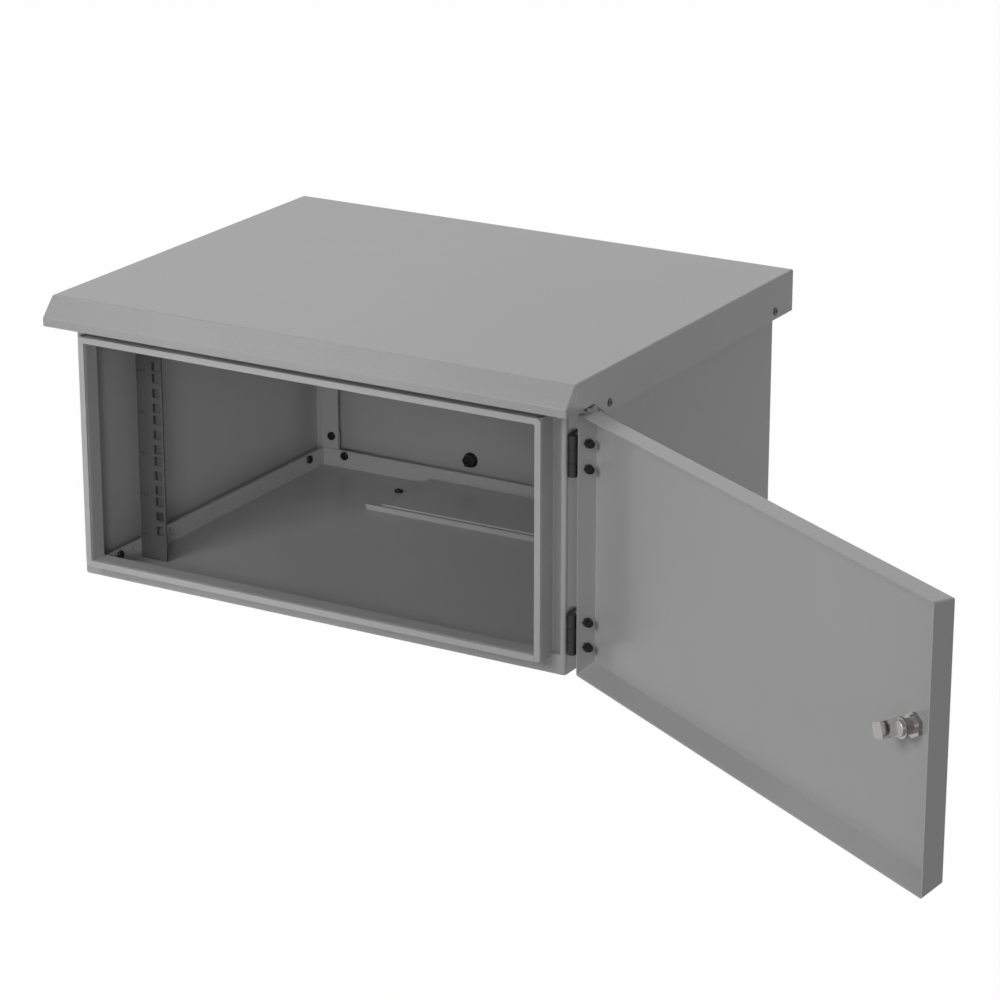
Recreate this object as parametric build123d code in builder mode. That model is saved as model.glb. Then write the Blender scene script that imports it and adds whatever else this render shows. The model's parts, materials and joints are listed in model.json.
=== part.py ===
"""Outdoor wall cabinet for 19 inch equipment, five units high, with a rain hood and a hinged door.

Millimetres. The origin is the centre of the body's base, +Z is up and the door side faces -Y.
The door stands open, as far as it is open in the reference view.
"""

import math
import os

from build123d import *

os.makedirs("parts", exist_ok=True)

# Body
body_depth = 438.0
body_height = 278.0
sheet = 1.5
bend_radius = 2.0
front_corner_radius = 4.0
rear_corner_radius = 5.0
panel_gap = 0.2

# Front frame: an outer bead, a rain gutter behind it and a collar round the opening
bead_width = 7.0
gutter_width = 10.0
gutter_depth = 5.0
collar_width = 6.4
collar_reach = 17.0
collar_return = 2.0
corner_patch_height = 21.0
relief_hole_radius = 1.2

# Seal on the collar
seal_thickness = 3.0
seal_corner_radius = 4.0
seal_joint_gap = 0.4

# Joining flanges between the panels
lip_height = 21.0
lip_setback = 8.0
back_lip_width = 20.0

# Rack rails, to the 19 inch pattern; the body is as wide as the rails and their opening need
rack_unit = 44.45
rack_units = 5
rack_opening = 450.8
rack_hole_size = 9.5
rack_hole_inset = 7.16
rack_hole_margin = 6.35
rack_hole_pitch = 15.875
rack_holes_per_unit = 3
rail_width = 32.4
rail_flange = 30.0
rail_thickness = 2.0
rail_setback = 63.5
rail_end_gap = 0.2
rail_side_gap = 0.1

# Rain hood
hood_side_overhang = 17.0
hood_front_overhang = 32.0
hood_rear_overhang = 8.0
hood_rise = 20.0
hood_slope_run = 17.5
hood_slope_drop = 19.4
hood_lip_height = 8.5
hood_hem_width = 8.0
hood_flange_height = 43.4
hood_notch_start = 21.8
hood_notch_end = 45.3

# Hood brackets on the body's sides
hood_bracket_thickness = 2.0
hood_bracket_width = 34.0
hood_bracket_height = 19.0
hood_screw_front_inset = 52.5
hood_screw_rear_inset = 33.0
hood_screw_rise = 8.4
hood_bracket_drop_gap = 1.0
bracket_screw_rise = 8.0
bracket_screw_spacing = 22.0
bracket_access_radius = 5.3

# Door
door_open_angle = 149.45
door_depth = 21.4
door_free_inset = 2.3
door_top_inset = 12.2
door_base_height = 3.5
door_foot_rise = 10.2
door_seal_gap = 0.3

# Hinges
hinge_height = 40.6
hinge_top_inset = 42.8
hinge_base_inset = 40.6
hinge_pivot_stand = 5.8
hinge_pivot_setback = 1.45
knuckle_radius = 5.0
knuckle_gap = 0.3
hinge_leaf_thickness = 5.0
hinge_leaf_width = 13.0
hinge_leaf_clearance = 0.4
hinge_edge_round = 1.5
pin_radius = 2.0
pin_clearance = 0.05
stud_radius = 2.5
stud_clearance = 0.25
stud_length = 8.2
stud_spacing = 25.3
nut_across_flats = 8.0
nut_height = 4.5
nut_collar_radius = 3.6
nut_collar_height = 2.5

# Lock
lock_inset = 47.95
lock_flange_radius = 11.0
lock_flange_thickness = 2.5
lock_flange_round = 1.0
lock_barrel_radius = 7.2
lock_barrel_length = 13.0
lock_hole_clearance = 0.3
lock_nut_across_flats = 20.0
lock_nut_height = 4.0
lock_nut_turn = 30.0
plug_radius = 5.5
plug_clearance = 0.05
plug_nose = 0.8
plug_nose_radius = 7.0
plug_nose_gap = 0.05
key_slot_length = 8.0
key_slot_width = 1.8
key_slot_depth = 6.0
cam_stand = 0.4
cam_thickness = 2.0
cam_hub_radius = 9.5
cam_width = 14.7
cam_reach = 25.5
cam_riser_radius = 12.5
cam_depth = 27.2
cam_corner_radius = 4.5
cam_rest_angle = 20.0
cam_nut_radius = 7.0
cam_nut_height = 2.5
cam_nut_round = 1.2
spindle_radius = 3.0
spindle_clearance = 0.05

# Screws and bolts
screw_radius = 2.5
screw_clearance = 0.25
screw_head_radius = 4.75
screw_head_height = 2.8
low_head_radius = 4.1
low_head_height = 0.9
screw_socket_size = 3.0
screw_socket_depth = 1.5
screw_tail = 3.0
screw_line_height = 15.5
tray_screw_front_inset = 26.5
tray_screw_rear_inset = 55.0
back_screw_inset = 53.0
strip_screw_inset = 35.0
strip_screw_height = 35.7
rail_hole_inset = 51.0
rail_hole_pitch = 33.0
rail_holes = 3
wall_bolt_radius = 4.0
wall_bolt_shank_radius = 3.6
wall_bolt_clearance = 0.5
wall_bolt_span = 161.0
wall_bolt_height = 29.5
wall_bolt_rise = 200.0
wall_bolt_stand = 25.0
wall_bolt_head_radius = 6.5
wall_bolt_head_height = 5.3
wall_washer_radius = 8.5
wall_washer_thickness = 1.6

# Corner gussets behind the back panel's lips
gusset_thickness = 2.0
gusset_height = 40.0
gusset_depth = 17.0
gusset_gap = 0.1

# Cable entry in the floor
entry_width = 210.0
entry_depth = 66.0
entry_rear_inset = 42.0
entry_cover_width = 236.6
entry_cover_depth = 98.0
entry_cover_rear_inset = 28.0
entry_cover_rise = 7.5
entry_foot_width = 25.0
entry_screw_side_inset = 10.2
entry_screw_rear_inset = 67.7
entry_foam_length = 272.0
entry_foam_depth = 9.2
entry_foam_height = 5.6
entry_foam_reach = 3.5
entry_foam_gap = 0.3

# Derived places
joint_inset = bead_width + gutter_width + collar_width
body_width = rack_opening + 2 * (rail_width + rail_side_gap + sheet + panel_gap + joint_inset)
half_width = body_width / 2
front_y = -body_depth / 2
rear_y = body_depth / 2
side_panel_width = joint_inset - panel_gap
tray_half_width = half_width - joint_inset - panel_gap
collar_outer_x = half_width - bead_width - gutter_width
collar_base = bead_width + gutter_width
opening_base = joint_inset
frame_height = body_height - 2 * collar_base
opening_height = body_height - 2 * opening_base
back_lip_y = rear_y - joint_inset
tray_depth = body_depth - joint_inset - panel_gap
rack_base = (body_height - rack_units * rack_unit) / 2
rail_inner_x = rack_opening / 2
rail_outer_x = rail_inner_x + rail_width
rail_base = sheet + rail_end_gap
rail_height = body_height - 2 * rail_base
half_hood_width = half_width + hood_side_overhang
hood_top_height = body_height + hood_rise
hood_base_height = hood_top_height - hood_flange_height
hood_lip_base = hood_top_height - hood_slope_drop - hood_lip_height
hood_screw_setbacks = (hood_screw_front_inset, body_depth - hood_screw_rear_inset)
tray_screw_setbacks = (tray_screw_front_inset, body_depth - tray_screw_rear_inset)
rail_hole_setbacks = [rail_hole_inset + row * rail_hole_pitch for row in range(rail_holes)]
rail_screw_setback = rail_hole_setbacks[rail_holes // 2]
door_inner_y = front_y - collar_reach - seal_thickness - door_seal_gap
door_outer_y = door_inner_y - sheet
door_outer = door_outer_y - front_y
door_edge = door_outer + door_depth
door_top_height = body_height - door_top_inset
pivot_x = half_width + hinge_pivot_stand
pivot_y = front_y + hinge_pivot_setback
hinge_heights = {
    "lower": door_base_height + hinge_base_inset,
    "upper": door_top_height - hinge_top_inset,
}
knuckle_height = (hinge_height - 2 * knuckle_gap) / 3
leaf_start = knuckle_radius + hinge_leaf_clearance
stud_reach = leaf_start + hinge_leaf_width / 2
lock_x = -half_width + lock_inset
lock_z = body_height / 2
entry_y = rear_y - entry_rear_inset - entry_depth
entry_screw_x = entry_cover_width / 2 + entry_foot_width - entry_screw_side_inset
cover_rear_y = rear_y - entry_cover_rear_inset
cover_y = cover_rear_y - entry_cover_depth
foam_y = cover_y - entry_foam_reach
cover_foot_y = foam_y + entry_foam_depth + entry_foam_gap
middle = Plane.XY.offset(body_height / 2)
cut = 4 * sheet


def facing_x(x, setback, height):
    """Return a plane with its normal along +X, at a setback behind the body's front and a height."""
    return Plane(origin=(x, front_y + setback, height), x_dir=(0, 1, 0), z_dir=(1, 0, 0))


def facing_y(x, setback, height):
    """Return a plane with its normal along +Y, at a setback behind the body's front and a height."""
    return Plane(origin=(x, front_y + setback, height), x_dir=(-1, 0, 0), z_dir=(0, 1, 0))


def turned_about(plane):
    """Return the plane at the same place with its normal the other way."""
    return Plane(origin=plane.origin, x_dir=plane.x_dir, z_dir=-plane.z_dir)


# The turn that carries a place on the closed door to where the open door holds it
hinge_foot = Location((pivot_x, pivot_y, 0))
door_turn = hinge_foot * Location((0, 0, 0), (0, 0, door_open_angle)) * hinge_foot.inverse()


def on_door(plane):
    """Return a plane of the closed door, turned with the open door."""
    return Plane(door_turn * plane.location)


def folded_sheet(plane, points, length, side=Side.RIGHT):
    """Add a folded sheet whose weather side follows the points, run along the plane's normal."""
    with BuildSketch(plane, mode=Mode.PRIVATE) as section:
        with BuildLine():
            FilletPolyline(*points, radius=bend_radius)
            offset(amount=sheet, side=side)
        make_face()
    extrude(section.sketch, amount=length)


def slab(plane, width, depth, thickness, mode=Mode.ADD):
    """Add or cut a flat block with its corner at the plane's origin."""
    with Locations(plane):
        Box(width, depth, thickness, align=Align.MIN, mode=mode)


def drill(places, radius, depth=cut):
    """Cut round holes centred on the places and along their normals."""
    with Locations(*places):
        Cylinder(radius, depth, mode=Mode.SUBTRACT)


def button_screws(places, grip, tail=screw_tail, radius=screw_head_radius, height=screw_head_height):
    """Return button-head screws with their heads on the places and their shanks along the normals."""
    tops = [place.offset(-height) for place in places]
    with BuildPart() as screws:
        with Locations(*places):
            Cylinder(radius, height, align=(Align.CENTER, Align.CENTER, Align.MAX))
        rims = screws.edges().filter_by(GeomType.CIRCLE).filter_by(
            lambda edge: min((edge.arc_center - top.origin).length for top in tops) < height / 2
        )
        fillet(rims, radius=height / 2)
        for top in tops:
            with BuildSketch(top):
                RegularPolygon(screw_socket_size / 2, 6, major_radius=False)
            extrude(amount=screw_socket_depth, mode=Mode.SUBTRACT)
        with Locations(*places):
            Cylinder(screw_radius, grip + tail, align=(Align.CENTER, Align.CENTER, Align.MIN))
    return screws


def both_ends(height):
    """Return a height and its mirror image in the body's middle."""
    return (height, body_height - height)


def mirrored(places):
    """Return the mirror images of some places in the plane x = 0."""
    return [
        Plane(
            origin=(-place.origin.X, place.origin.Y, place.origin.Z),
            x_dir=place.x_dir,
            z_dir=(-place.z_dir.X, place.z_dir.Y, place.z_dir.Z),
        )
        for place in places
    ]


# Places of the screws that join the panels
def flange_places(setbacks):
    """Return places on the inner face of the trays' left side flanges, facing out."""
    inner_x = sheet - tray_half_width
    return [
        turned_about(facing_x(inner_x, setback, height))
        for setback in setbacks
        for height in both_ends(screw_line_height)
    ]


tray_screw_places = flange_places(tray_screw_setbacks)
rail_hole_places = flange_places(rail_hole_setbacks)
back_screw_places = [
    facing_y(side * (half_width - back_screw_inset), tray_depth - sheet, height)
    for side in (-1, 1)
    for height in both_ends(screw_line_height)
]
strip_screw_places = [
    facing_y(side * (half_width - strip_screw_inset), tray_depth + panel_gap, height)
    for side in (-1, 1)
    for height in both_ends(strip_screw_height)
]
wall_bolt_places = [
    facing_y(side * wall_bolt_span / 2, body_depth - sheet, height)
    for side in (-1, 1)
    for height in (wall_bolt_height, wall_bolt_height + wall_bolt_rise)
]
hood_screw_places = [
    facing_x(-half_hood_width, setback, hood_base_height + hood_screw_rise)
    for setback in hood_screw_setbacks
]
bracket_screw_places = [
    facing_x(
        -half_width - hood_bracket_thickness,
        setback + side * bracket_screw_spacing / 2,
        hood_base_height + bracket_screw_rise,
    )
    for setback in hood_screw_setbacks
    for side in (-1, 1)
]
rail_screw_places = [
    turned_about(facing_x(rail_thickness - rail_outer_x, rail_screw_setback, height))
    for height in both_ends(screw_line_height)
]
entry_screw_places = [
    Plane(
        origin=(side * entry_screw_x, rear_y - entry_screw_rear_inset, 2 * sheet),
        z_dir=(0, 0, -1),
    )
    for side in (-1, 1)
]


def hinge_studs(plane_at):
    """Return the stud places of both hinges, given the plane at a height."""
    return [
        plane_at(height + side * stud_spacing / 2)
        for height in hinge_heights.values()
        for side in (-1, 1)
    ]


body_stud_places = hinge_studs(
    lambda height: turned_about(facing_x(half_width, hinge_pivot_setback + stud_reach, height))
)
door_stud_places = hinge_studs(
    lambda height: on_door(turned_about(facing_x(half_width, hinge_pivot_setback - stud_reach, height)))
)


# Side panels: each is a shallow box with the front frame's jamb folded into it
def jamb(inset, setback):
    """Return a point of the left side panel, by its distance from the outside and from the front."""
    return (-half_width + inset, front_y + setback)


def on_jamb(inset, setback, height):
    """Return a level plane at a place of the left side panel."""
    return Plane(origin=(*jamb(inset, setback), height))


def side_panel():
    """Return the left side panel, without hinge holes."""
    window_height = body_height - 2 * lip_height
    jamb_height = body_height - 2 * corner_patch_height
    with BuildPart() as panel:
        slab(on_jamb(0, 0, 0), side_panel_width, body_depth, body_height)
        fillet(panel.edges().filter_by(Axis.Z).sort_by(Axis.X)[:2].sort_by(Axis.Y)[0], front_corner_radius)
        fillet(panel.edges().filter_by(Axis.Z).sort_by(Axis.Y)[-2:].sort_by(Axis.X)[0], rear_corner_radius)
        end_edges = panel.faces().filter_by(Plane.XY).edges()
        fillet([edge for edge in end_edges if edge.center().X < -half_width + side_panel_width - sheet],
               bend_radius)
        slab(on_jamb(sheet, sheet, sheet), side_panel_width - 2 * sheet, body_depth - 2 * sheet,
             body_height - 2 * sheet, Mode.SUBTRACT)

        # Windows between the joining lips
        slab(on_jamb(side_panel_width - cut, lip_setback, lip_height), 2 * cut,
             back_lip_y - front_y - lip_setback, window_height, Mode.SUBTRACT)
        slab(on_jamb(front_corner_radius, -cut, corner_patch_height), side_panel_width, cut + sheet,
             jamb_height, Mode.SUBTRACT)
        slab(on_jamb(side_panel_width - 2 * sheet, 0, corner_patch_height), cut, lip_setback,
             jamb_height, Mode.SUBTRACT)

        # Bead, gutter and collar between the corner patches
        collar_points = [
            jamb(joint_inset, collar_return),
            jamb(joint_inset, -collar_reach),
            jamb(collar_base, -collar_reach),
        ]
        gutter_points = [
            jamb(collar_base, gutter_depth),
            jamb(bead_width, gutter_depth),
            jamb(bead_width, 0),
            jamb(front_corner_radius, 0),
        ]
        folded_sheet(Plane.XY.offset(corner_patch_height), collar_points + gutter_points, jamb_height)
        for base in (collar_base, body_height - corner_patch_height):
            folded_sheet(
                Plane.XY.offset(base),
                collar_points + [jamb(collar_base, sheet)],
                corner_patch_height - collar_base,
            )
        for base in (corner_patch_height - sheet, body_height - corner_patch_height):
            slab(on_jamb(bead_width - sheet, 0, base), gutter_width + 2 * sheet, gutter_depth + sheet, sheet)
        drill([facing_y(-half_width + side_panel_width, 0, height)
               for height in both_ends(corner_patch_height)], relief_hole_radius)

        # Holes for the screws of the trays, the rails and the hood brackets
        drill(tray_screw_places + rail_hole_places, screw_radius + screw_clearance, 2 * cut)
        drill(bracket_screw_places, screw_radius + screw_clearance, 2 * cut)
    return panel


left_side_panel = side_panel()
left_side_panel.part.label = "left_side_panel"
export_step(left_side_panel.part, "parts/left_side_panel.step")

with BuildPart() as right_side_panel:
    mirror(left_side_panel.part, about=Plane.YZ)
    drill(body_stud_places, stud_radius + stud_clearance)
right_side_panel.part.label = "right_side_panel"
export_step(right_side_panel.part, "parts/right_side_panel.step")

# Back panel: a shallow box, open to the front inside a frame of lips
with BuildPart() as back_panel:
    back_half_width = tray_half_width + panel_gap
    slab(Plane(origin=(-back_half_width, back_lip_y, 0)), 2 * back_half_width, joint_inset, body_height)
    fillet(back_panel.faces().sort_by(Axis.Y)[-1].edges(), bend_radius)
    slab(Plane(origin=(sheet - back_half_width, back_lip_y + sheet, sheet)), 2 * back_half_width - 2 * sheet,
         joint_inset - 2 * sheet, body_height - 2 * sheet, Mode.SUBTRACT)
    slab(Plane(origin=(back_lip_width - back_half_width, back_lip_y - cut, lip_height)),
         2 * (back_half_width - back_lip_width), 2 * cut, body_height - 2 * lip_height, Mode.SUBTRACT)
    drill(back_screw_places + strip_screw_places, screw_radius + screw_clearance, 2 * cut)
    drill(wall_bolt_places, wall_bolt_radius + wall_bolt_clearance)
back_panel.part.label = "back_panel"
export_step(back_panel.part, "parts/back_panel.step")


# Floor and top trays: each has a flange on three sides and the collar along the front
def tray():
    """Return the floor tray, without its cable entry."""
    with BuildPart() as base:
        slab(Plane(origin=(-tray_half_width, front_y, 0)), 2 * tray_half_width, tray_depth, lip_height)
        fillet(base.faces().sort_by(Axis.Z)[0].edges(), bend_radius)
        slab(Plane(origin=(sheet - tray_half_width, front_y + sheet, sheet)), 2 * (tray_half_width - sheet),
             tray_depth - 2 * sheet, lip_height, Mode.SUBTRACT)
        slab(Plane(origin=(-half_width, front_y - cut, collar_base - bend_radius)), body_width,
             cut + sheet + collar_return, lip_height, Mode.SUBTRACT)
        folded_sheet(
            facing_x(-tray_half_width, 0, 0),
            [(0, collar_base - 2 * bend_radius), (0, collar_base), (-collar_reach, collar_base),
             (-collar_reach, opening_base), (collar_return, opening_base)],
            2 * tray_half_width,
            Side.LEFT,
        )
        holes = tray_screw_places + rail_hole_places
        drill(holes + mirrored(holes), screw_radius + screw_clearance)
        drill(back_screw_places, screw_radius + screw_clearance)
    return base


blank_tray = tray()

with BuildPart() as floor_tray:
    add(blank_tray.part)
    slab(Plane(origin=(-entry_width / 2, entry_y, -sheet)), entry_width, entry_depth, cut, Mode.SUBTRACT)
    drill(entry_screw_places, screw_radius + screw_clearance, 2 * cut)
floor_tray.part.label = "floor_tray"
export_step(floor_tray.part, "parts/floor_tray.step")

with BuildPart() as top_tray:
    mirror(blank_tray.part, about=middle)
top_tray.part.label = "top_tray"
export_step(top_tray.part, "parts/top_tray.step")

# Rain hood: a folded cover with a hemmed front edge and notched side flanges
with BuildPart() as rain_hood:
    hood_rear = body_depth + hood_rear_overhang
    with BuildSketch(facing_x(-half_hood_width, 0, 0)):
        with BuildLine():
            Polyline(
                (-hood_front_overhang, hood_base_height),
                (-hood_front_overhang, hood_top_height - hood_slope_drop),
                (-hood_front_overhang + hood_slope_run, hood_top_height),
                (hood_rear, hood_top_height),
                (hood_rear, hood_base_height),
                close=True,
            )
        make_face()
    extrude(amount=2 * half_hood_width)
    hood_rim = rain_hood.faces().sort_by(Axis.Z)[0]
    fillet([edge for edge in rain_hood.edges() if edge not in hood_rim.edges()], bend_radius)
    offset(amount=-sheet, openings=rain_hood.faces().sort_by(Axis.Z)[0])
    with BuildSketch(facing_x(-half_hood_width - cut, 0, 0)):
        with BuildLine():
            Polyline(
                (-hood_front_overhang - cut, hood_base_height - cut),
                (-hood_front_overhang - cut, hood_lip_base),
                (hood_notch_start, hood_lip_base),
                (hood_notch_end, hood_base_height),
                (hood_notch_end, hood_base_height - cut),
                close=True,
            )
        make_face()
    extrude(amount=2 * half_hood_width + 2 * cut, mode=Mode.SUBTRACT)
    slab(Plane(origin=(sheet - half_hood_width, front_y - hood_front_overhang, hood_lip_base)),
         2 * (half_hood_width - sheet), hood_hem_width, sheet)
    drill(hood_screw_places + mirrored(hood_screw_places), screw_radius + screw_clearance)
rain_hood.part.label = "rain_hood"
export_step(rain_hood.part, "parts/rain_hood.step")

# Hood brackets: small channels between the body's sides and the hood's flanges
bracket_span = hood_side_overhang - sheet
for end, setback in zip(("front", "rear"), hood_screw_setbacks):
    with BuildPart() as bracket:
        bracket_base = hood_base_height + hood_bracket_drop_gap
        corner = (-half_width - bracket_span, front_y + setback - hood_bracket_width / 2, bracket_base)
        slab(Plane(origin=corner), bracket_span, hood_bracket_width, hood_bracket_height)
        inner = (corner[0] + hood_bracket_thickness, corner[1] - cut, bracket_base - cut)
        slab(Plane(origin=inner), bracket_span - 2 * hood_bracket_thickness, hood_bracket_width + 2 * cut,
             hood_bracket_height - hood_bracket_thickness + cut, Mode.SUBTRACT)
        drill(hood_screw_places, screw_radius + screw_clearance, 2 * cut)
        drill(bracket_screw_places, screw_radius + screw_clearance, cut)
        drill([place.offset(-bracket_span) for place in bracket_screw_places], bracket_access_radius, 2 * cut)
    bracket.part.label = f"hood_bracket_{end}_left"
    export_step(bracket.part, f"parts/hood_bracket_{end}_left.step")
    with BuildPart() as mirrored_bracket:
        mirror(bracket.part, about=Plane.YZ)
    mirrored_bracket.part.label = f"hood_bracket_{end}_right"
    export_step(mirrored_bracket.part, f"parts/hood_bracket_{end}_right.step")

bracket_screws = button_screws(bracket_screw_places + mirrored(bracket_screw_places), hood_bracket_thickness)
bracket_screws.part.label = "bracket_screws"
export_step(bracket_screws.part, "parts/bracket_screws.step")

hood_screws = button_screws(hood_screw_places + mirrored(hood_screw_places), sheet,
                            radius=low_head_radius, height=low_head_height)
hood_screws.part.label = "hood_screws"
export_step(hood_screws.part, "parts/hood_screws.step")

# Door seal: one strip round the collar, cut to length where it meets at the lower right corner
with BuildPart() as door_seal:
    with BuildSketch(facing_y(0, -collar_reach, body_height / 2)):
        RectangleRounded(2 * collar_outer_x, frame_height, seal_corner_radius)
        Rectangle(2 * (half_width - joint_inset), opening_height, mode=Mode.SUBTRACT)
    extrude(amount=-seal_thickness)
    slab(Plane(origin=(half_width - joint_inset - seal_joint_gap, front_y - collar_reach - cut, 0)),
         seal_joint_gap, 2 * cut, opening_base, Mode.SUBTRACT)
door_seal.part.label = "door_seal"
export_step(door_seal.part, "parts/door_seal.step")

# Rack rails: angles with three square holes in every unit
with BuildPart() as left_rack_rail:
    rail_y = front_y + rail_setback
    slab(Plane(origin=(-rail_outer_x, rail_y, rail_base)), rail_width, rail_flange, rail_height)
    fillet(left_rack_rail.edges().filter_by(Axis.Z).sort_by(Axis.X)[:2].sort_by(Axis.Y)[0], bend_radius)
    slab(Plane(origin=(rail_thickness - rail_outer_x, rail_y + rail_thickness, 0)), rail_width, rail_flange,
         body_height, Mode.SUBTRACT)
    rack_holes = [
        facing_y(
            -rail_inner_x - rack_hole_inset,
            rail_setback,
            rack_base + unit * rack_unit + rack_hole_margin + row * rack_hole_pitch,
        )
        for unit in range(rack_units)
        for row in range(rack_holes_per_unit)
    ]
    with Locations(*rack_holes):
        Box(rack_hole_size, rack_hole_size, cut, mode=Mode.SUBTRACT)
    drill(rail_screw_places, screw_radius + screw_clearance)
left_rack_rail.part.label = "left_rack_rail"
export_step(left_rack_rail.part, "parts/left_rack_rail.step")

with BuildPart() as right_rack_rail:
    mirror(left_rack_rail.part, about=Plane.YZ)
right_rack_rail.part.label = "right_rack_rail"
export_step(right_rack_rail.part, "parts/right_rack_rail.step")

# Screws of the body
joint_grip = 2 * sheet + 2 * panel_gap
rail_screws = button_screws(rail_screw_places + mirrored(rail_screw_places), joint_grip + rail_thickness)
rail_screws.part.label = "rail_screws"
export_step(rail_screws.part, "parts/rail_screws.step")

tray_screws = button_screws(tray_screw_places + mirrored(tray_screw_places), joint_grip)
tray_screws.part.label = "tray_screws"
export_step(tray_screws.part, "parts/tray_screws.step")

back_screws = button_screws(back_screw_places, joint_grip)
back_screws.part.label = "back_screws"
export_step(back_screws.part, "parts/back_screws.step")

gusset_screws = button_screws(strip_screw_places, sheet + gusset_thickness)
gusset_screws.part.label = "gusset_screws"
export_step(gusset_screws.part, "parts/gusset_screws.step")

# Corner gussets
with BuildPart() as corner_gusset:
    gusset_corner = (sheet + gusset_gap - tray_half_width - panel_gap, back_lip_y + sheet, sheet + gusset_gap)
    gusset_width = back_lip_width - sheet - gusset_gap
    slab(Plane(origin=gusset_corner), gusset_width, gusset_depth, gusset_height)
    slab(Plane(origin=(gusset_corner[0] + gusset_thickness, gusset_corner[1] + gusset_thickness, 0)),
         gusset_width, gusset_depth, body_height, Mode.SUBTRACT)
    drill(strip_screw_places, screw_radius + screw_clearance, 2 * cut)
corner_gusset.part.label = "lower_left_gusset"
export_step(corner_gusset.part, "parts/lower_left_gusset.step")

with BuildPart() as lower_right_gusset:
    mirror(corner_gusset.part, about=Plane.YZ)
lower_right_gusset.part.label = "lower_right_gusset"
export_step(lower_right_gusset.part, "parts/lower_right_gusset.step")

with BuildPart() as upper_left_gusset:
    mirror(corner_gusset.part, about=middle)
upper_left_gusset.part.label = "upper_left_gusset"
export_step(upper_left_gusset.part, "parts/upper_left_gusset.step")

with BuildPart() as upper_right_gusset:
    mirror(upper_left_gusset.part, about=Plane.YZ)
upper_right_gusset.part.label = "upper_right_gusset"
export_step(upper_right_gusset.part, "parts/upper_right_gusset.step")

# Cable entry: a raised cover over the hole in the floor, with a strip of foam under its front edge
with BuildPart() as cable_entry_cover:
    cover_half = entry_cover_width / 2
    slab(Plane(origin=(-cover_half - entry_foot_width, cover_foot_y, sheet)),
         entry_cover_width + 2 * entry_foot_width, cover_rear_y - cover_foot_y, sheet)
    slab(Plane(origin=(-cover_half, cover_y, sheet)), entry_cover_width, entry_cover_depth, entry_cover_rise)
    fillet(cable_entry_cover.faces().sort_by(Axis.Z)[-1].edges().sort_by(Axis.Y)[1:], bend_radius)
    slab(Plane(origin=(sheet - cover_half, cover_y - sheet, 0)), entry_cover_width - 2 * sheet,
         entry_cover_depth, entry_cover_rise, Mode.SUBTRACT)
    slab(Plane(origin=(-cover_half - sheet, cover_y - sheet, 0)), entry_cover_width + 2 * sheet,
         cover_foot_y - cover_y + sheet, entry_cover_rise, Mode.SUBTRACT)
    drill(entry_screw_places, screw_radius + screw_clearance)
cable_entry_cover.part.label = "cable_entry_cover"
export_step(cable_entry_cover.part, "parts/cable_entry_cover.step")

with BuildPart() as cable_entry_foam:
    slab(Plane(origin=(-entry_foam_length / 2, foam_y, sheet)), entry_foam_length, entry_foam_depth,
         entry_foam_height)
cable_entry_foam.part.label = "cable_entry_foam"
export_step(cable_entry_foam.part, "parts/cable_entry_foam.step")

cable_entry_screws = button_screws(entry_screw_places, 2 * sheet, 0)
cable_entry_screws.part.label = "cable_entry_screws"
export_step(cable_entry_screws.part, "parts/cable_entry_screws.step")

# Wall bolts and their washers
with BuildPart() as wall_washers:
    for place in wall_bolt_places:
        with BuildSketch(place):
            Circle(wall_washer_radius)
            Circle(wall_bolt_radius + wall_bolt_clearance, mode=Mode.SUBTRACT)
        extrude(amount=-wall_washer_thickness)
wall_washers.part.label = "wall_washers"
export_step(wall_washers.part, "parts/wall_washers.step")

with BuildPart() as wall_bolts:
    for place in wall_bolt_places:
        with BuildSketch(place.offset(-wall_washer_thickness)):
            RegularPolygon(wall_bolt_head_radius, 6, major_radius=False)
        extrude(amount=-wall_bolt_head_height)
        with BuildSketch(place.offset(-wall_washer_thickness)):
            Circle(wall_bolt_shank_radius)
        extrude(amount=wall_washer_thickness + sheet)
        with BuildSketch(place.offset(sheet)):
            Circle(wall_bolt_radius)
        extrude(amount=wall_bolt_stand)
wall_bolts.part.label = "wall_bolts"
export_step(wall_bolts.part, "parts/wall_bolts.step")


# Hinges: each leaf has its own knuckles, and a pin joins the two
def at(plane, x, y, z):
    """Return a plane moved by this much in its own directions."""
    return Plane(plane.location * Location((x, y, z)))


def hinge_leaf(plane, knuckle_starts, stud_places):
    """Return a hinge leaf that runs along the plane's x from the pin and lies back on its y side."""
    leaf_face = hinge_pivot_stand - hinge_leaf_thickness
    with BuildPart() as leaf:
        slab(at(plane, leaf_start, leaf_face, 0), hinge_leaf_width, hinge_leaf_thickness, hinge_height)
        outer_edges = leaf.faces().sort_by(Axis(plane.origin, plane.y_dir))[0].edges()
        fillet(outer_edges.sort_by(Axis(plane.origin, plane.x_dir))[1:], hinge_edge_round)
        for start in knuckle_starts:
            with Locations(at(plane, 0, 0, start)):
                Cylinder(knuckle_radius, knuckle_height, align=(Align.CENTER, Align.CENTER, Align.MIN))
            slab(at(plane, 0, leaf_face + hinge_edge_round, start), leaf_start + hinge_edge_round,
                 knuckle_radius - leaf_face - hinge_edge_round, knuckle_height)
        with Locations(plane):
            Cylinder(pin_radius + pin_clearance, 2 * hinge_height, mode=Mode.SUBTRACT)
        with Locations(*stud_places):
            Cylinder(stud_radius, stud_length, align=(Align.CENTER, Align.CENTER, Align.MIN))
    return leaf


def locking_nuts(places):
    """Return nuts with a round locking collar on the hinge studs, each against the sheet there."""
    with BuildPart() as nuts:
        for place in places:
            with BuildSketch(place.offset(sheet)):
                RegularPolygon(nut_across_flats / 2, 6, major_radius=False)
            extrude(amount=nut_height)
            with BuildSketch(place.offset(sheet)):
                Circle(nut_collar_radius)
            extrude(amount=nut_height + nut_collar_height)
        drill(places, stud_radius, 4 * stud_length)
    return nuts


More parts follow.
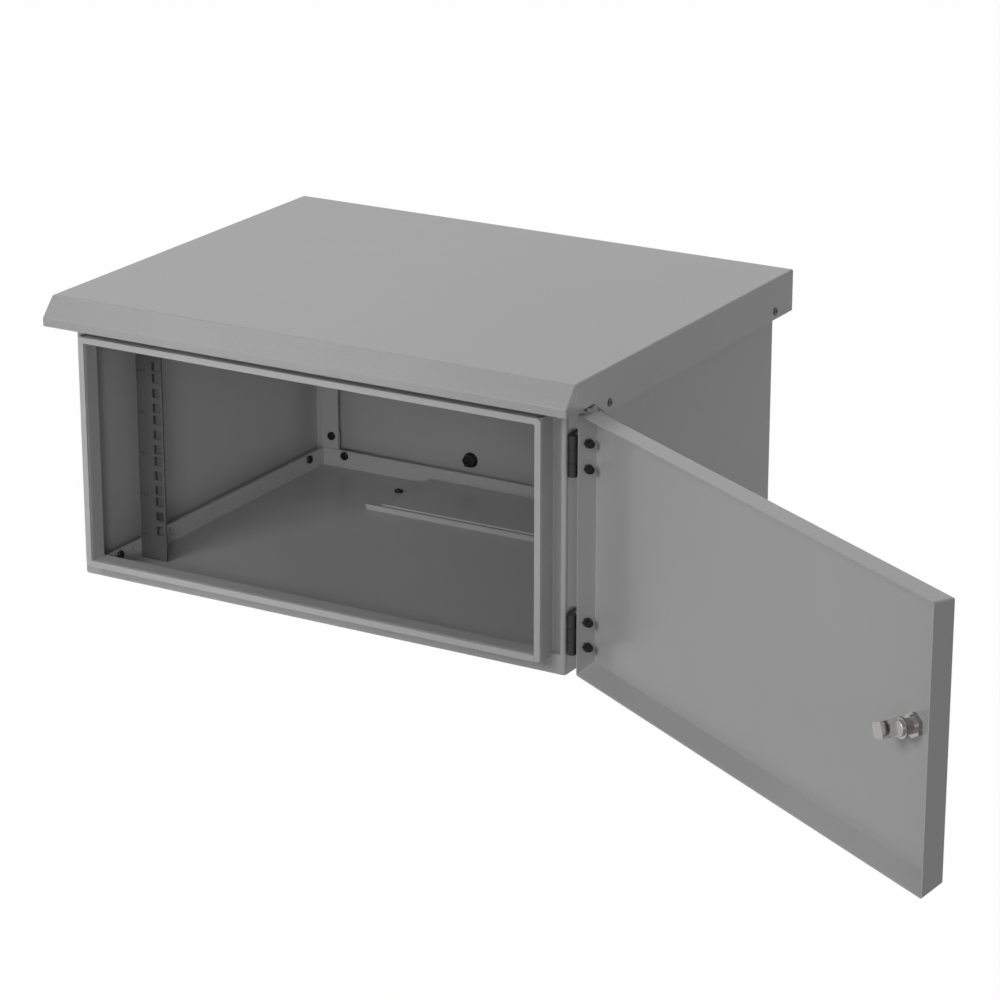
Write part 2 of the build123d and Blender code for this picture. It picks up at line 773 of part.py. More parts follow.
outer_knuckles = (0, 2 * (knuckle_height + knuckle_gap))
middle_knuckle = (knuckle_height + knuckle_gap,)
for index, (position, height) in enumerate(hinge_heights.items()):
    base = height - hinge_height / 2
    studs = slice(2 * index, 2 * index + 2)
    body_plane = Plane(origin=(pivot_x, pivot_y, base), x_dir=(0, 1, 0), z_dir=(0, 0, 1))
    door_plane = on_door(
        Plane(origin=(pivot_x, pivot_y, base + hinge_height), x_dir=(0, -1, 0), z_dir=(0, 0, -1))
    )

    body_leaf = hinge_leaf(body_plane, outer_knuckles, body_stud_places[studs])
    body_leaf.part.label = f"{position}_hinge_body_leaf"
    export_step(body_leaf.part, f"parts/{position}_hinge_body_leaf.step")

    door_leaf = hinge_leaf(door_plane, middle_knuckle, door_stud_places[studs])
    door_leaf.part.label = f"{position}_hinge_door_leaf"
    export_step(door_leaf.part, f"parts/{position}_hinge_door_leaf.step")

    with BuildPart() as hinge_pin:
        with Locations(body_plane):
            Cylinder(pin_radius, hinge_height, align=(Align.CENTER, Align.CENTER, Align.MIN))
    hinge_pin.part.label = f"{position}_hinge_pin"
    export_step(hinge_pin.part, f"parts/{position}_hinge_pin.step")

hinge_body_nuts = locking_nuts(body_stud_places)
hinge_body_nuts.part.label = "hinge_body_nuts"
export_step(hinge_body_nuts.part, "parts/hinge_body_nuts.step")

hinge_door_nuts = locking_nuts(door_stud_places)
hinge_door_nuts.part.label = "hinge_door_nuts"
export_step(hinge_door_nuts.part, "parts/hinge_door_nuts.step")

# Door: a pan with a sloping foot
lock_plane = on_door(facing_y(lock_x, door_outer, lock_z))
with BuildPart() as door_panel:
    with BuildSketch(on_door(facing_x(door_free_inset - half_width, 0, 0))):
        with BuildLine():
            Polyline(
                (door_edge, door_base_height),
                (door_edge, door_top_height),
                (door_outer, door_top_height),
                (door_outer, door_base_height + door_foot_rise),
                close=True,
            )
        make_face()
    extrude(amount=body_width - door_free_inset)
    door_depth_axis = Axis(lock_plane.origin, lock_plane.z_dir)
    open_face = door_panel.faces().sort_by(door_depth_axis)[-1]
    fillet([edge for edge in door_panel.edges() if edge not in open_face.edges()], bend_radius)
    offset(amount=-sheet, openings=door_panel.faces().sort_by(door_depth_axis)[-1])
    drill(door_stud_places, stud_radius + stud_clearance)
    drill([lock_plane], lock_barrel_radius + lock_hole_clearance)
door_panel.part.label = "door_panel"
export_step(door_panel.part, "parts/door_panel.step")

# Lock: a flanged barrel and its nut in the door, a plug that turns in it, and a cranked cam
barrel_end = sheet + lock_barrel_length
with BuildPart() as lock_housing:
    with Locations(lock_plane):
        Cylinder(lock_flange_radius, lock_flange_thickness, align=(Align.CENTER, Align.CENTER, Align.MAX))
    front_rim = lock_housing.faces().sort_by(door_depth_axis)[0].edges()
    fillet(front_rim, lock_flange_round)
    with Locations(lock_plane):
        Cylinder(lock_barrel_radius, barrel_end, align=(Align.CENTER, Align.CENTER, Align.MIN))
        Cylinder(plug_radius + plug_clearance, 2 * barrel_end + cut, mode=Mode.SUBTRACT)
lock_housing.part.label = "lock_housing"
export_step(lock_housing.part, "parts/lock_housing.step")

with BuildPart() as lock_nut:
    with BuildSketch(lock_plane.offset(sheet)):
        RegularPolygon(lock_nut_across_flats / 2, 6, major_radius=False, rotation=lock_nut_turn)
        Circle(lock_barrel_radius, mode=Mode.SUBTRACT)
    extrude(amount=lock_nut_height)
lock_nut.part.label = "lock_nut"
export_step(lock_nut.part, "parts/lock_nut.step")

cam_direction = math.radians(cam_rest_angle)
cam_plane = on_door(
    Plane(
        origin=(lock_x, door_outer_y, lock_z),
        x_dir=(math.cos(cam_direction), 0, -math.sin(cam_direction)),
        z_dir=(0, 1, 0),
    )
)
cam_base = barrel_end + cam_stand
with BuildPart() as lock_plug:
    with Locations(cam_plane.offset(-lock_flange_thickness - plug_nose_gap)):
        Cylinder(plug_nose_radius, plug_nose, align=(Align.CENTER, Align.CENTER, Align.MAX))
        Cylinder(plug_radius, lock_flange_thickness + plug_nose_gap + cam_base,
                 align=(Align.CENTER, Align.CENTER, Align.MIN))
    with Locations(cam_plane.offset(cam_base)):
        Cylinder(spindle_radius, cam_thickness + cam_nut_height - cam_nut_round,
                 align=(Align.CENTER, Align.CENTER, Align.MIN))
    with Locations(cam_plane.offset(-lock_flange_thickness - plug_nose_gap - plug_nose)):
        Box(key_slot_length, key_slot_width, 2 * key_slot_depth, mode=Mode.SUBTRACT)
lock_plug.part.label = "lock_plug"
export_step(lock_plug.part, "parts/lock_plug.step")

with BuildPart() as lock_cam:
    with BuildSketch(cam_plane.offset(cam_base)):
        Circle(cam_hub_radius)
        with Locations(((cam_riser_radius + cam_thickness) / 2, 0)):
            Rectangle(cam_riser_radius + cam_thickness, cam_width)
        Circle(spindle_radius + spindle_clearance, mode=Mode.SUBTRACT)
    extrude(amount=cam_thickness)
    slab(at(cam_plane, cam_riser_radius, -cam_width / 2, cam_base), cam_thickness, cam_width,
         cam_depth - cam_base)
    slab(at(cam_plane, cam_riser_radius, -cam_width / 2, cam_depth - cam_thickness),
         cam_reach - cam_riser_radius, cam_width, cam_thickness)
    thickness_edges = lock_cam.edges().filter_by(door_depth_axis)
    fillet(thickness_edges.sort_by(Axis(cam_plane.origin, cam_plane.x_dir))[-2:], cam_corner_radius)
lock_cam.part.label = "lock_cam"
export_step(lock_cam.part, "parts/lock_cam.step")

with BuildPart() as lock_cam_nut:
    with Locations(cam_plane.offset(cam_base + cam_thickness)):
        Cylinder(cam_nut_radius, cam_nut_height, align=(Align.CENTER, Align.CENTER, Align.MIN))
    fillet(lock_cam_nut.faces().sort_by(door_depth_axis)[-1].edges(), cam_nut_round)
    with Locations(cam_plane.offset(cam_base + cam_thickness)):
        Cylinder(spindle_radius, 2 * (cam_nut_height - cam_nut_round), mode=Mode.SUBTRACT)
lock_cam_nut.part.label = "lock_cam_nut"
export_step(lock_cam_nut.part, "parts/lock_cam_nut.step")
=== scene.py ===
"""Looks of a small outdoor rack cabinet: finishes, printed rail marks, studio and camera."""
import json
import logging
import math
from dataclasses import dataclass
from enum import Enum
from functools import cached_property

import bmesh
import bpy
from mathutils import Matrix, Vector


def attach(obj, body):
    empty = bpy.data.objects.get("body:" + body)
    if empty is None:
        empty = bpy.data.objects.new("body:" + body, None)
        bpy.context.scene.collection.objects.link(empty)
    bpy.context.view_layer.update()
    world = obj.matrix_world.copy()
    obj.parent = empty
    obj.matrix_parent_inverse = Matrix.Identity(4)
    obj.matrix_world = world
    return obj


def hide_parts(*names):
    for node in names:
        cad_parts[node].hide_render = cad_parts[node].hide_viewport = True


LOG = logging.getLogger("cabinet")
MM = 0.001


class Slot(Enum):
    """Material slots of the record."""

    BODY = "body_paint"
    HOOD = "hood_paint"
    DOOR = "door_paint"
    RAIL = "rail_paint"
    BLACK = "black_steel"
    HINGE = "hinge_black"
    NICKEL = "nickel"
    SEAL = "seal_rubber"
    FOAM = "foam"


class Body(Enum):
    """Moving bodies of the frame."""

    CABINET = "cabinet"
    DOOR = "door"
    LOCK = "lock"


class Value:
    """A shader number that adds a Math node for each operator."""

    def __init__(self, graph: "Graph", socket: bpy.types.NodeSocket) -> None:
        """Wrap a socket of a graph.

        Args:
            graph: The graph that the socket is in.
            socket: The output socket that carries the number.
        """
        self.graph = graph
        self.socket = socket

    def _maths(self, operation: str, first: "Value | float", second: "Value | float") -> "Value":
        """Add a Math node.

        Args:
            operation: The node's operation.
            first: The first operand.
            second: The second operand.

        Returns:
            The node's result.
        """
        node = self.graph.node("ShaderNodeMath", {"operation": operation}, {0: first, 1: second})
        return Value(self.graph, node.outputs[0])

    def __add__(self, other: "Value | float") -> "Value":
        """Return the sum."""
        return self._maths("ADD", self, other)

    __radd__ = __add__

    def __mul__(self, other: "Value | float") -> "Value":
        """Return the product."""
        return self._maths("MULTIPLY", self, other)

    __rmul__ = __mul__

    def __sub__(self, other: "Value | float") -> "Value":
        """Return the difference."""
        return self._maths("SUBTRACT", self, other)

    def __rsub__(self, other: "Value | float") -> "Value":
        """Return the difference the other way round."""
        return self._maths("SUBTRACT", other, self)

    def larger(self, other: "Value | float") -> "Value":
        """Return the larger of two numbers."""
        return self._maths("MAXIMUM", self, other)

    def above(self, edge: float, softness: float) -> "Value":
        """Return a mask that rises from 0 to 1 past an edge.

        Args:
            edge: The value at which the mask starts.
            softness: The distance over which it rises.

        Returns:
            The mask.
        """
        node = self.graph.node(
            "ShaderNodeMapRange",
            {"interpolation_type": "SMOOTHSTEP"},
            {"Value": self, "From Min": edge, "From Max": edge + softness},
        )
        return Value(self.graph, node.outputs[0])


class Graph:
    """The node tree of a material or of the world."""

    def __init__(self, owner: bpy.types.Material | bpy.types.World) -> None:
        """Empty the owner's tree.

        Args:
            owner: The material or world that has the tree.
        """
        self.owner = owner
        self.owner.use_nodes = True
        self.tree = owner.node_tree
        self.tree.nodes.clear()

    @classmethod
    def of_material(cls, name: str) -> "Graph":
        """Start a new material of that name."""
        return cls(bpy.data.materials.new(name))

    @cached_property
    def place(self) -> bpy.types.NodeSocket:
        """Return the place in the object's own coordinates."""
        return self.node("ShaderNodeTexCoord", {}, {}).outputs["Object"]

    def node(self, kind: str, settings: dict[str, object], inputs: dict) -> bpy.types.Node:
        """Add a node.

        Args:
            kind: The node's type.
            settings: The node's own settings, set before its sockets.
            inputs: Socket names or numbers with their values or links.

        Returns:
            The node.
        """
        node = self.tree.nodes.new(kind)
        for key, value in settings.items():
            setattr(node, key, value)
        for key, value in inputs.items():
            if isinstance(value, Value):
                value = value.socket
            if isinstance(value, bpy.types.NodeSocket):
                self.tree.links.new(value, node.inputs[key])
            else:
                node.inputs[key].default_value = value
        return node

    def noise(self, size: float, detail: float = 2.0,
              stretch: tuple[float, float, float] = (1, 1, 1)) -> Value:
        """Add a noise pattern.

        Args:
            size: The size of its patches in metres.
            detail: How many finer layers it has.
            stretch: How much longer the patches are along each axis.

        Returns:
            The noise, from 0 to 1.
        """
        scale = [1 / (size * axis) for axis in stretch]
        mapped = self.node("ShaderNodeMapping", {}, {"Vector": self.place, "Scale": scale})
        node = self.node(
            "ShaderNodeTexNoise", {}, {"Vector": mapped.outputs[0], "Scale": 1.0, "Detail": detail}
        )
        return Value(self, node.outputs["Fac"])

    def along_y(self) -> Value:
        """Return the place along Y in metres."""
        node = self.node("ShaderNodeSeparateXYZ", {}, {0: self.place})
        return Value(self, node.outputs["Y"])

    def cells(self, size: float) -> Value:
        """Add a pattern of round cells.

        Args:
            size: The distance between cells in metres.

        Returns:
            The distance from the nearest cell's centre, in cell sizes.
        """
        node = self.node("ShaderNodeTexVoronoi", {}, {"Vector": self.place, "Scale": 1 / size})
        return Value(self, node.outputs["Distance"])

    def seen_directly(self) -> Value:
        """Return 1 for camera, glossy and transmission rays, and 0 for the rays that light the object."""
        path = self.node("ShaderNodeLightPath", {}, {})
        seen = Value(self, path.outputs["Is Camera Ray"])
        for ray in ("Is Glossy Ray", "Is Transmission Ray"):
            seen = seen.larger(Value(self, path.outputs[ray]))
        return seen

    def mix(self, factor: Value, first: tuple[float, ...] | bpy.types.NodeSocket,
            second: tuple[float, ...]) -> bpy.types.NodeSocket:
        """Mix two colours.

        Args:
            factor: 0 for the first, 1 for the second.
            first: A linear colour or a link.
            second: A linear colour.

        Returns:
            The mixed colour.
        """
        node = self.node("ShaderNodeMix", {"data_type": "RGBA"}, {"Factor": factor, 6: first, 7: second})
        return node.outputs[2]

    def bump(self, height: Value, depth: float) -> bpy.types.NodeSocket:
        """Turn a height into a normal.

        Args:
            height: The height, about 0 to 1.
            depth: What a height of 1 is in metres.

        Returns:
            The normal.
        """
        node = self.node("ShaderNodeBump", {}, {"Height": height, "Distance": depth, "Strength": 1.0})
        return node.outputs["Normal"]

    def finish(self, sockets: dict) -> bpy.types.Material:
        """Close the tree with a surface.

        Args:
            sockets: Values and links of the surface's sockets.

        Returns:
            The material.
        """
        surface = self.node("ShaderNodeBsdfPrincipled", {}, sockets)
        self.node("ShaderNodeOutputMaterial", {}, {"Surface": surface.outputs[0]})
        return self.owner


def grey(level: float, warmth: float = 0.0) -> tuple[float, float, float, float]:
    """Return a linear grey.

    Args:
        level: The grey as it is displayed, from 0 to 255.
        warmth: How much more red than blue it shows, on the same scale.

    Returns:
        The linear colour with an alpha of 1.
    """
    shown = [(level + shift) / 255 for shift in (warmth / 2, 0, -warmth / 2)]
    linear = [part / 12.92 if part <= 0.04045 else ((part + 0.055) / 1.055) ** 2.4 for part in shown]
    return (*linear, 1.0)


@dataclass(frozen=True)
class PowderCoat:
    """A powder coat with a fine orange peel and faint cloudiness."""

    name: str
    level: float
    clouding: float = 5.0
    cloud_size: float = 110.0 * MM
    cloud_gloss: float = 0.1
    speck_size: float = 0.9 * MM
    speck_edge: float = 0.66
    speck_softness: float = 0.1
    speck_strength: float = 0.1
    speck_shade: float = 0.8
    peel_size: float = 3.4 * MM
    peel_depth: float = 0.1 * MM
    fine_peel_scale: float = 0.4
    fine_peel_share: float = 0.35
    roughness: float = 0.24
    front_peel: float = 0.0
    front_edge: float = -233.0 * MM
    front_blend: float = 1.5 * MM

    def material(self) -> bpy.types.Material:
        """Return the material."""
        graph = Graph.of_material(self.name)
        cloud = graph.noise(self.cloud_size, 3.0)
        speck = graph.noise(self.speck_size, 1.0).above(self.speck_edge, self.speck_softness)
        base = graph.mix(cloud, grey(self.level - self.clouding), grey(self.level + self.clouding))
        colour = graph.mix(speck * self.speck_strength, base, grey(self.level * self.speck_shade))
        fine_peel = graph.noise(self.peel_size * self.fine_peel_scale, 1.0)
        peel = graph.noise(self.peel_size, 2.0) + self.fine_peel_share * fine_peel
        if self.front_peel:
            behind = graph.along_y().above(self.front_edge, self.front_blend)
            peel = peel * (1 + self.front_peel * (1 - behind))
        return graph.finish(
            {
                "Base Color": colour,
                "Roughness": self.roughness + self.cloud_gloss * (cloud - 0.5),
                "Normal": graph.bump(peel, self.peel_depth),
            }
        )


@dataclass(frozen=True)
class BlackSteel:
    """Blackened steel, a little browner and duller in patches."""

    name: str
    level: float
    roughness: float = 0.3
    grain: float = 0.5 * MM
    grain_depth: float = 0.01 * MM
    patch_size: float = 4.0 * MM
    patch_contrast: float = 8.0
    patch_gloss: float = 0.14
    rub_size: float = 1.3 * MM
    rub_edge: float = 0.6
    rub_softness: float = 0.12
    rub_strength: float = 0.3
    rub_lightening: float = 26.0
    specular: float = 0.45

    def material(self) -> bpy.types.Material:
        """Return the material."""
        graph = Graph.of_material(self.name)
        patch = graph.noise(self.patch_size, 3.0)
        rub = graph.noise(self.rub_size, 2.0).above(self.rub_edge, self.rub_softness)
        dark = grey(self.level - self.patch_contrast)
        brown = grey(self.level + self.patch_contrast, 4)
        base = graph.mix(patch, dark, brown)
        colour = graph.mix(rub * self.rub_strength, base, grey(self.level + self.rub_lightening, 3))
        return graph.finish(
            {
                "Base Color": colour,
                "Specular IOR Level": self.specular,
                "Roughness": self.roughness + self.patch_gloss * (patch - 0.5),
                "Normal": graph.bump(graph.noise(self.grain, 2.0), self.grain_depth),
            }
        )


@dataclass(frozen=True)
class PlatedMetal:
    """A plated metal with fine turning marks and faint stains."""

    name: str
    level: float
    warmth: float
    roughness: float
    stain_size: float = 3.5 * MM
    stain_darkening: float = 18.0
    stain_lightening: float = 10.0
    stain_warmth: float = 6.0
    stain_gloss: float = 0.12
    scuff_size: float = 0.35 * MM
    scuff_stretch: float = 6.0
    scuff_gloss: float = 0.05
    scuff_depth: float = 0.006 * MM

    def material(self) -> bpy.types.Material:
        """Return the material."""
        graph = Graph.of_material(self.name)
        stain = graph.noise(self.stain_size, 4.0)
        scuff = graph.noise(self.scuff_size, 2.0, (1.0, 1.0, self.scuff_stretch))
        colour = graph.mix(
            stain,
            grey(self.level - self.stain_darkening, self.warmth + self.stain_warmth),
            grey(self.level + self.stain_lightening, self.warmth),
        )
        return graph.finish(
            {
                "Base Color": colour,
                "Metallic": 1.0,
                "Roughness": self.roughness + self.stain_gloss * (stain - 0.4) + self.scuff_gloss * scuff,
                "Normal": graph.bump(scuff, self.scuff_depth),
            }
        )


@dataclass(frozen=True)
class Foam:
    """A closed-cell strip with fine open pores at its cut skin, with painted shade darkening the pore
    hollows.
    """

    name: str
    level: float
    cell: float
    depth: float = 0.12 * MM
    patch_size: float = 18.0 * MM
    patch_contrast: float = 5.0
    patch_gloss: float = 0.1
    # The pore fields set the painted shade in the pore hollows: where it starts, how softly it fades in,
    # how strong it is and how dark.
    pore_edge: float = 0.7
    pore_softness: float = 0.3
    pore_strength: float = 0.3
    painted_pore_shade: float = 0.72
    roughness: float = 0.78

    def material(self) -> bpy.types.Material:
        """Return the material."""
        graph = Graph.of_material(self.name)
        pore = graph.cells(self.cell)
        patch = graph.noise(self.patch_size, 3.0)
        dark = grey(self.level - self.patch_contrast)
        pale = grey(self.level + self.patch_contrast)
        base = graph.mix(patch, dark, pale)
        # Painted shade: the colour darkens towards each pore's centre, which is the low point of the bump,
        # in place of shade in the hollows.
        centre = (1 - pore).above(self.pore_edge, self.pore_softness)
        colour = graph.mix(centre * self.pore_strength, base, grey(self.level * self.painted_pore_shade))
        return graph.finish(
            {
                "Base Color": colour,
                "Roughness": self.roughness + self.patch_gloss * (patch - 0.5),
                "Normal": graph.bump(pore, self.depth),
            }
        )


@dataclass(frozen=True)
class Print:
    """A thin printed mark that the paint's grain shows through."""

    name: str
    level: float
    grain_size: float = 0.5 * MM
    contrast: float = 12.0
    roughness: float = 0.5
    grain_gloss: float = 0.1

    def material(self) -> bpy.types.Material:
        """Return the material."""
        graph = Graph.of_material(self.name)
        grain = graph.noise(self.grain_size, 2.0)
        dark = grey(self.level - self.contrast)
        pale = grey(self.level + self.contrast)
        return graph.finish(
            {
                "Base Color": graph.mix(grain, dark, pale),
                "Roughness": self.roughness + self.grain_gloss * grain,
            }
        )


class Piece:
    """A new mesh that rides on a body of the frame."""

    @staticmethod
    def add(name: str, mesh: bmesh.types.BMesh, material: bpy.types.Material, slot: Slot, body: Body,
            replaced: tuple[str, ...] = ()) -> bpy.types.Object:
        """Turn a bmesh into a piece.

        Args:
            name: The piece's name.
            mesh: The shape, at its place in the frame; it is freed.
            material: The piece's finish.
            slot: The record's slot for that finish; not used.
            body: The body that carries the piece.
            replaced: The CAD nodes that the piece stands for.

        Returns:
            The object.
        """
        data = bpy.data.meshes.new(name)
        mesh.to_mesh(data)
        mesh.free()
        data.materials.append(material)
        piece = bpy.data.objects.new(name, data)
        bpy.context.collection.objects.link(piece)
        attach(piece, body.value)
        if replaced:
            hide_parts(*replaced)
        LOG.info("piece %s: %d faces", name, len(data.polygons))
        return piece


@dataclass(frozen=True)
class Finishes:
    """The finish of every CAD node, by its slot."""

    paint_level: float = 186.0
    rail_level: float = 92.0
    screw_level: float = 26.0
    hinge_level: float = 27.0
    nickel_level: float = 166.0
    seal_level: float = 200.0
    foam_level: float = 176.0

    def dress(self) -> dict[Slot, bpy.types.Material]:
        """Give every CAD node its finish.

        Returns:
            The materials by slot.
        """
        made = {
            Slot.BODY: PowderCoat("body_powder_coat", self.paint_level).material(),
            Slot.HOOD: PowderCoat(
                "hood_powder_coat", self.paint_level, clouding=4.0, front_peel=5.0
            ).material(),
            Slot.DOOR: PowderCoat("door_powder_coat", self.paint_level, clouding=4.0).material(),
            Slot.RAIL: PowderCoat(
                "rail_powder_coat", self.rail_level, clouding=4.0, roughness=0.42
            ).material(),
            Slot.BLACK: BlackSteel("black_screws", self.screw_level).material(),
            Slot.HINGE: BlackSteel(
                "black_hinges", self.hinge_level, roughness=0.42, grain=0.8 * MM
            ).material(),
            Slot.NICKEL: PlatedMetal(
                "nickel_plate", self.nickel_level, warmth=1.0, roughness=0.13
            ).material(),
            Slot.SEAL: Foam("seal_foam", self.seal_level, cell=0.5 * MM, depth=0.05 * MM).material(),
            Slot.FOAM: Foam("grey_foam", self.foam_level, cell=1.1 * MM).material(),
        }
        for entry in frame["record"]["subparts"]:
            node = frame["nodes"][entry["node"]]
            node.data.materials.clear()
            node.data.materials.append(made[Slot(entry["material_slot"])])
            LOG.info("finish %s on %s", entry["material_slot"], entry["node"])
        return made


@dataclass(frozen=True)
class RailMarks:
    """Printed unit marks on the rails: a dash, the unit's number and a short bar."""

    units: int = 5
    pitch: float = 44.45 * MM
    base: float = 27.875 * MM
    face: float = -155.5 * MM
    edge: float = 257.8 * MM
    margin: float = 1.5 * MM
    dash: float = 3.6 * MM
    gap: float = 0.7 * MM
    digit: float = 4.2 * MM
    font_scale: float = 1.4
    bar: float = 0.6 * MM
    line: float = 0.7 * MM
    lift: float = 0.04 * MM

    def digit_mesh(self, text: str) -> bmesh.types.BMesh:
        """Return a flat number that stands in the XZ plane and faces -Y.

        Args:
            text: The number.

        Returns:
            The shape, with its lower left corner at the origin.
        """
        curve = bpy.data.curves.new("digit", "FONT")
        curve.body = text
        curve.size = self.digit * self.font_scale
        holder = bpy.data.objects.new("digit", curve)
        bpy.context.collection.objects.link(holder)
        bpy.context.view_layer.update()
        data = bpy.data.meshes.new_from_object(holder)
        mesh = bmesh.new()
        mesh.from_mesh(data)
        bpy.data.objects.remove(holder)
        bpy.data.curves.remove(curve)
        bpy.data.meshes.remove(data)
        bmesh.ops.transform(mesh, matrix=Matrix.Rotation(math.pi / 2, 4, "X"), verts=mesh.verts)
        left = min(vertex.co.x for vertex in mesh.verts)
        bottom = min(vertex.co.z for vertex in mesh.verts)
        bmesh.ops.translate(mesh, verts=mesh.verts, vec=(-left, 0, -bottom))
        return mesh

    def plate(self, mesh: bmesh.types.BMesh, left: float, bottom: float, width: float,
              height: float) -> None:
        """Add a flat rectangle that faces -Y.

        Args:
            mesh: The shape to add it to.
            left: Its left side.
            bottom: Its lower side.
            width: Its width.
            height: Its height.
        """
        right = left + width
        top = bottom + height
        corners = [(left, bottom), (right, bottom), (right, top), (left, top)]
        mesh.faces.new([mesh.verts.new((x, self.face - self.lift, z)) for x, z in corners])

    def build(self, material: bpy.types.Material) -> None:
        """Print the marks on both rails.

        Args:
            material: The print's finish.
        """
        starts = {"left": -self.edge + self.margin, "right": self.edge - self.margin - self.reach()}
        for name, start in starts.items():
            mesh = bmesh.new()
            for unit in range(self.units):
                level = self.base + unit * self.pitch
                foot = level - self.digit / 2
                bar_left = start + self.reach() - self.bar
                digit_left = start + self.dash + self.gap
                self.plate(mesh, start, level - self.line / 2, self.dash, self.line)
                self.plate(mesh, bar_left, foot, self.bar, self.digit)
                digit = self.digit_mesh(str(unit + 1))
                bmesh.ops.translate(
                    digit, verts=digit.verts, vec=(digit_left, self.face - self.lift, foot)
                )
                copy = bpy.data.meshes.new("digit")
                digit.to_mesh(copy)
                digit.free()
                mesh.from_mesh(copy)
                bpy.data.meshes.remove(copy)
            Piece.add(f"rail_marks_{name}", mesh, material, Slot.RAIL, Body.CABINET)

    def reach(self) -> float:
        """Return the length of a whole mark."""
        return self.dash + self.digit + self.bar + 2 * self.gap


@dataclass(frozen=True)
class Lamp:
    """A soft square lamp."""

    name: str
    place: tuple[float, float, float]
    power: float
    size: float
    target: tuple[float, float, float] = (0.1, -0.1, 0.15)

    def light(self) -> bpy.types.Light:
        """Return the lamp's settings, with its power in watts and its sides in metres."""
        light = bpy.data.lights.new(self.name, "AREA")
        light.energy = self.power
        light.size = self.size
        return light

    def hang(self) -> None:
        """Put the lamp at its place and turn it to its target."""
        lamp = bpy.data.objects.new(self.name, self.light())
        bpy.context.collection.objects.link(lamp)
        direction = Vector(self.target) - Vector(self.place)
        turn = direction.to_track_quat("-Z", "Y").to_matrix().to_4x4()
        lamp.matrix_world = Matrix.Translation(self.place) @ turn


@dataclass(frozen=True)
class SpotLamp(Lamp):
    """A soft-edged spot lamp."""

    cone: float = 14.0
    blend: float = 0.8

    def light(self) -> bpy.types.Light:
        """Return the lamp's settings, with its cone's whole angle in degrees."""
        light = bpy.data.lights.new(self.name, "SPOT")
        light.energy = self.power
        light.spot_size = math.radians(self.cone)
        light.spot_blend = self.blend
        light.shadow_soft_size = self.size
        return light


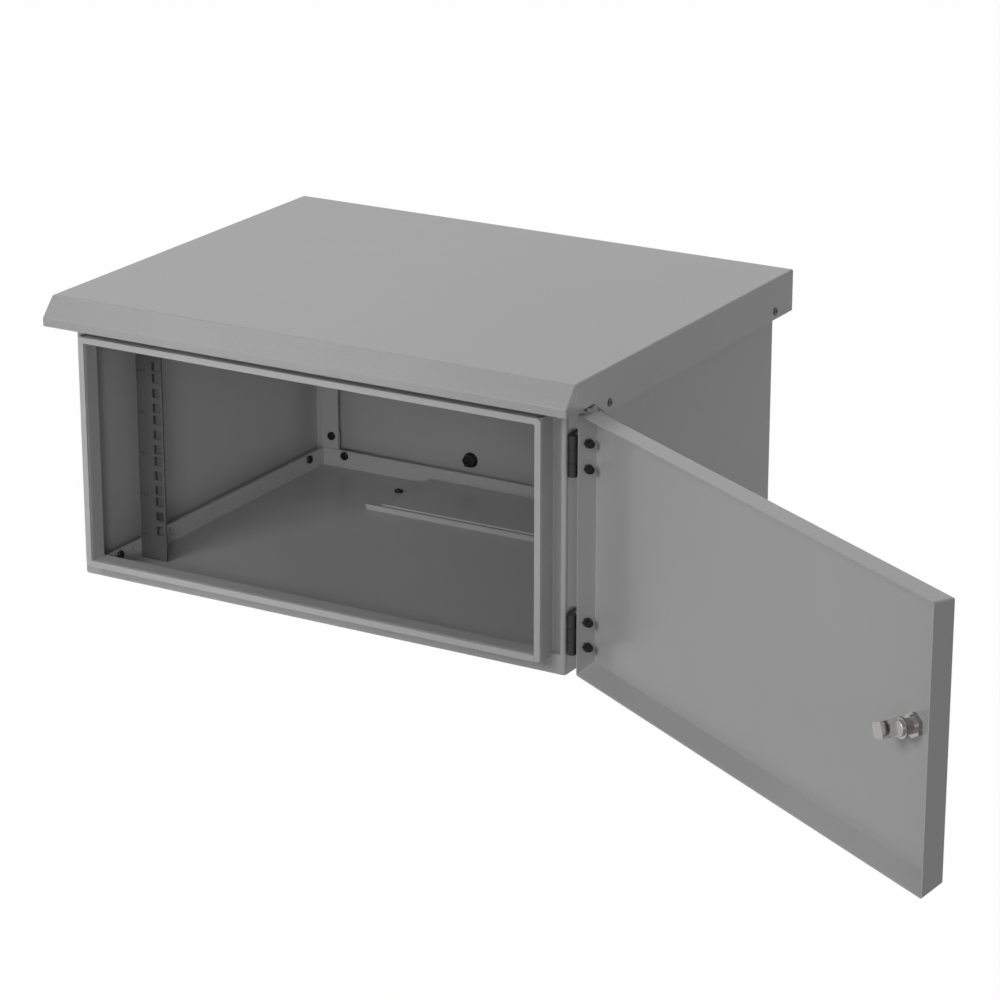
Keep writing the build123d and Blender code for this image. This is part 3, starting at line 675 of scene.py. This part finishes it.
@dataclass(frozen=True)
class Studio:
    """Floor, lamps, world and camera."""

    azimuth: float = 30.23
    elevation: float = 19.27
    eye: tuple[float, float, float] = (1.8394, -3.0138, 1.2967)
    lens: float = 129.94
    sensor: float = 36.0
    sight: float = 200.0
    floor_half: float = 40.0
    floor_drop: float = 0.5 * MM
    floor_level: float = 185.0
    floor_whiteness: float = 0.99
    ambient: float = 0.12
    ambient_level: float = 250.0
    lamps: tuple[Lamp, ...] = (
        Lamp("key", (-0.69, -3.2, 1.81), 42.0, 1.6),
        Lamp("top", (0.2, 0.3, 3.2), 13.0, 2.2),
        Lamp("right", (2.2, -2.6, 0.6), 7.0, 1.6),
        SpotLamp("inside", (1.0, -2.3, 0.7), 70.0, 0.25, (-0.2, -0.15, 0.1)),
    )

    def camera(self) -> None:
        """Set the camera where the photograph was taken."""
        data = bpy.data.cameras.new("camera")
        data.lens = self.lens
        data.sensor_fit = "HORIZONTAL"
        data.sensor_width = self.sensor
        data.clip_end = self.sight
        camera = bpy.data.objects.new("camera", data)
        bpy.context.collection.objects.link(camera)
        azimuth = math.radians(self.azimuth)
        elevation = math.radians(self.elevation)
        camera.matrix_world = (
            Matrix.Translation(self.eye)
            @ Matrix.Rotation(azimuth, 4, "Z")
            @ Matrix.Rotation(math.pi / 2 - elevation, 4, "X")
        )
        bpy.context.scene.camera = camera

    def floor_material(self) -> bpy.types.Material:
        """Return a matte grey that shows as nearly white where it is seen directly."""
        graph = Graph.of_material("floor_white")
        matte = graph.node("ShaderNodeBsdfDiffuse", {}, {"Color": grey(self.floor_level)})
        white = graph.node("ShaderNodeEmission", {}, {"Color": grey(255), "Strength": 1.0})
        factor = graph.seen_directly() * self.floor_whiteness
        both = graph.node("ShaderNodeMixShader", {}, {0: factor, 1: matte.outputs[0], 2: white.outputs[0]})
        graph.node("ShaderNodeOutputMaterial", {}, {"Surface": both.outputs[0]})
        return graph.owner

    def floor(self) -> None:
        """Lay the floor just under the object."""
        mesh = bmesh.new()
        bmesh.ops.create_grid(mesh, x_segments=1, y_segments=1, size=self.floor_half)
        bmesh.ops.translate(mesh, verts=mesh.verts, vec=(0, 0, -self.floor_drop))
        data = bpy.data.meshes.new("floor")
        mesh.to_mesh(data)
        mesh.free()
        data.materials.append(self.floor_material())
        floor = bpy.data.objects.new("floor", data)
        bpy.context.collection.objects.link(floor)

    def world(self) -> None:
        """Set an even light all round, seen as white."""
        world = bpy.data.worlds.new("studio")
        bpy.context.scene.world = world
        graph = Graph(world)
        light = graph.node(
            "ShaderNodeBackground", {}, {"Color": grey(self.ambient_level), "Strength": self.ambient}
        )
        white = graph.node("ShaderNodeBackground", {}, {"Color": grey(255), "Strength": 1.0})
        both = graph.node(
            "ShaderNodeMixShader", {}, {0: graph.seen_directly(), 1: light.outputs[0], 2: white.outputs[0]}
        )
        graph.node("ShaderNodeOutputWorld", {}, {"Surface": both.outputs[0]})

    def build(self) -> None:
        """Build the studio."""
        self.camera()
        self.floor()
        self.world()
        for lamp in self.lamps:
            lamp.hang()
        LOG.info("studio built with %d lamps", len(self.lamps))


def main() -> None:
    """Dress the frame, print the rail marks and build the studio."""
    logging.basicConfig(level=logging.INFO, format="%(name)s: %(message)s")
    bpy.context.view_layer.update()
    bpy.context.scene.view_settings.view_transform = "Standard"
    materials = Finishes().dress()
    RailMarks().build(Print("rail_print", 30.0).material())
    Studio().build()
    LOG.info("%d materials", len(materials))


with open("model.json") as file:
    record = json.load(file)
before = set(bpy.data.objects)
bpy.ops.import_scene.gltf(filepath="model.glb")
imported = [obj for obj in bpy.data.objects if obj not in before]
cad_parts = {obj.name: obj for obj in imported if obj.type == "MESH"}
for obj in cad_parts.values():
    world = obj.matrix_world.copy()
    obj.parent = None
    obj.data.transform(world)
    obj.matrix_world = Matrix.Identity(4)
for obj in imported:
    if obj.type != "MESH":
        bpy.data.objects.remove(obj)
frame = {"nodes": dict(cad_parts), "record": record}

if __name__ == "__main__":
    main()
